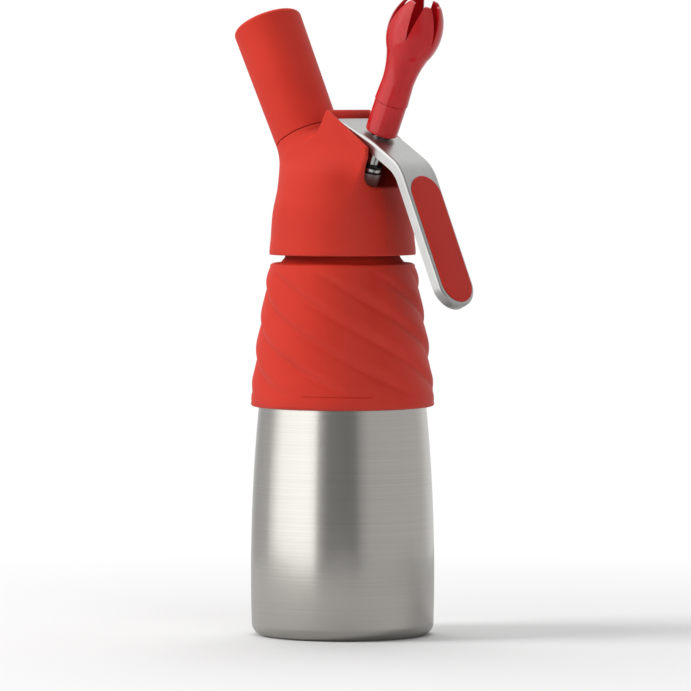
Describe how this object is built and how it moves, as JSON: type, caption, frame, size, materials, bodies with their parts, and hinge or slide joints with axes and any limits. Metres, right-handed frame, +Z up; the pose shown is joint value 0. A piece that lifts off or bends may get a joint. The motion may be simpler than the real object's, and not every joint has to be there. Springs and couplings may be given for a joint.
{
  "type": "whipped cream dispenser",
  "caption": "Hand-held cream whipper: pressure bottle with a screwed head, lever-opened valve, toothed nozzle and a screwed holder for a gas charger.",
  "frame": {"origin": "middle of the bottle's underside, on the bottle's axis", "axes": "+Z up the bottle's axis, +X towards the lever and nozzle, +Y across the lever"},
  "size_m": [0.1368, 0.082, 0.2851],
  "materials": {
    "steel": "brushed stainless steel, satin",
    "lever_steel": "satin stainless sheet",
    "charger_steel": "zinc plated steel",
    "chromed": "polished stainless",
    "cast_aluminium": "fine blasted casting",
    "red_silicone": "matt silicone",
    "red_plastic": "glossy moulded plastic",
    "black_rubber": "black rubber",
    "clear_silicone": "pale silicone",
    "brass": "turned brass"
  },
  "bodies": {
    "bottle": {"bottle": "steel", "bottle_sleeve": "red_silicone"},
    "gasket": {"head_gasket": "clear_silicone"},
    "head": {"head_body": "cast_aluminium", "head_cover": "red_silicone", "inlet_valve": "brass", "piercing_pin": "chromed", "charger_seal": "black_rubber", "valve_guide": "chromed", "stem_seal": "black_rubber", "cap_seal": "black_rubber", "valve_cap": "chromed", "stem_wiper": "black_rubber", "valve_spring": "chromed", "lever_pin": "chromed"},
    "lever": {"lever": "lever_steel", "lever_pad": "red_silicone"},
    "stem": {"valve_stem": "chromed", "valve_disc": "clear_silicone", "nozzle_adapter": "red_plastic"},
    "tip_seal": {"nozzle_seal": "black_rubber"},
    "nozzle": {"nozzle_tip": "red_plastic"},
    "charger": {"gas_charger": "charger_steel"},
    "holder": {"charger_holder": "cast_aluminium", "holder_cover": "red_silicone"}
  },
  "joints": [
    {"name": "head_lift", "type": "slide", "parent": "bottle", "child": "gasket", "axis": [0, 0, 1], "range_m": [0, 0.0121]},
    {"name": "head_turn", "type": "hinge", "parent": "gasket", "child": "head", "pos_m": [0, 0, 0.185], "axis": [0, 0, 1], "range_deg": [0, 1080]},
    {"name": "lever_press", "type": "hinge", "parent": "head", "child": "lever", "pos_m": [0.00868, 0, 0.22502], "axis": [0, 1, 0], "range_deg": [0, 8.5], "stiffness_Nm_per_rad": 1.5, "springref_deg": -11.46},
    {"name": "valve_stroke", "type": "slide", "parent": "head", "child": "stem", "axis": [-0.4226, 0, -0.9063], "range_m": [0, 0.0024], "deforming": ["valve_spring"]},
    {"name": "nozzle_draw", "type": "slide", "parent": "stem", "child": "tip_seal", "axis": [0.4226, 0, 0.9063], "range_m": [0, 0.0045]},
    {"name": "nozzle_turn", "type": "hinge", "parent": "tip_seal", "child": "nozzle", "pos_m": [0.03381, 0, 0.2453], "axis": [0.4226, 0, 0.9063], "range_deg": [0, 1090]},
    {"name": "holder_draw", "type": "slide", "parent": "head", "child": "charger", "axis": [-0.4602, 0, 0.8878], "range_m": [0, 0.01]},
    {"name": "holder_turn", "type": "hinge", "parent": "charger", "child": "holder", "pos_m": [-0.03221, 0, 0.24215], "axis": [-0.4602, 0, 0.8878], "range_deg": [0, 1812]}
  ],
  "couplings": [
    {"joint": "head_lift", "follows": "head_turn", "m_per_rad": 0.00063662},
    {"joint": "valve_stroke", "follows": "lever_press", "m_per_rad": 0.0155},
    {"joint": "nozzle_turn", "follows": "nozzle_draw", "rad_per_m": 4188.8},
    {"joint": "holder_turn", "follows": "holder_draw", "rad_per_m": 3141.6}
  ]
}
